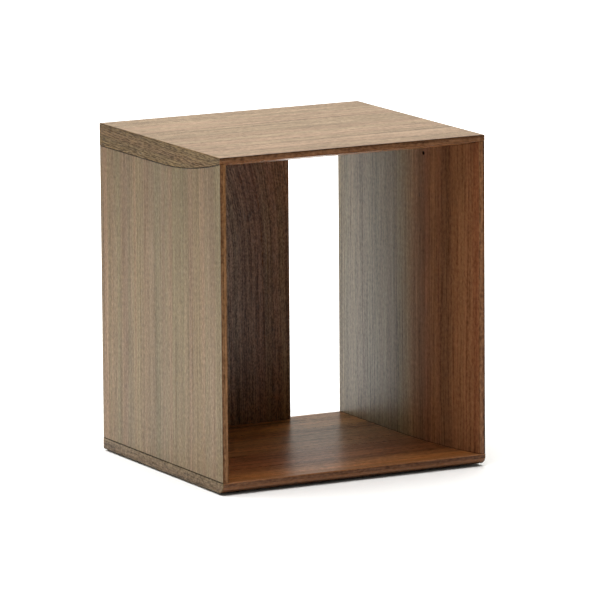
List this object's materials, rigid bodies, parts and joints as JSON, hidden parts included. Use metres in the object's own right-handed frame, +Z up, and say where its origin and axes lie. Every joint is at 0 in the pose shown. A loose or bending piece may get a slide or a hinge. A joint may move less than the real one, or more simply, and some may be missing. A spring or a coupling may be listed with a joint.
{
  "type": "cube storage unit",
  "caption": "Open walnut-veneered storage cube with boards that thin to slim front edges and a part-width back that leaves a cable slot.",
  "frame": {"origin": "on the floor, under the middle of the unit", "axes": "+Z up, the open front faces -Y, +X to the right as seen from the front"},
  "size_m": [0.336, 0.302, 0.382],
  "materials": {
    "walnut_top": "satin lacquered walnut veneer, grain along the width",
    "walnut_side": "satin lacquered walnut veneer, grain upright",
    "walnut_front_edge": "satin lacquered walnut edging, grain along its length",
    "walnut_end_band": "satin lacquered walnut edging, grain along the depth",
    "walnut_base": "satin lacquered walnut veneer, grain along the width",
    "walnut_back": "satin lacquered walnut veneer, grain upright",
    "beech": "plain beech",
    "zinc_steel": "zinc plated",
    "black_steel": "black oxide",
    "dark_plastic": "matt"
  },
  "bodies": {
    "root": {"top_panel": "walnut_top", "top_front_edge_band": "walnut_front_edge", "top_back_edge_band": "walnut_front_edge", "top_left_edge_band": "walnut_end_band", "top_right_edge_band": "walnut_end_band", "base_panel": "walnut_base", "base_front_nosing": "walnut_front_edge", "base_back_edge_band": "walnut_front_edge", "base_left_edge_band": "walnut_end_band", "base_right_edge_band": "walnut_end_band", "left_side_panel": "walnut_side", "left_side_front_edge_band": "walnut_front_edge", "left_side_back_edge_band": "walnut_front_edge", "right_side_panel": "walnut_side", "right_side_front_edge_band": "walnut_front_edge", "right_side_back_edge_band": "walnut_front_edge", "back_panel": "walnut_back", "back_panel_edge_band": "walnut_front_edge", "top_joint_dowels": "beech", "base_joint_dowels": "beech", "back_panel_dowels": "beech", "connector_bolts": "zinc_steel", "connector_grub_screws": "black_steel", "base_glides": "dark_plastic", "glide_nails": "zinc_steel"}
  },
  "joints": []
}
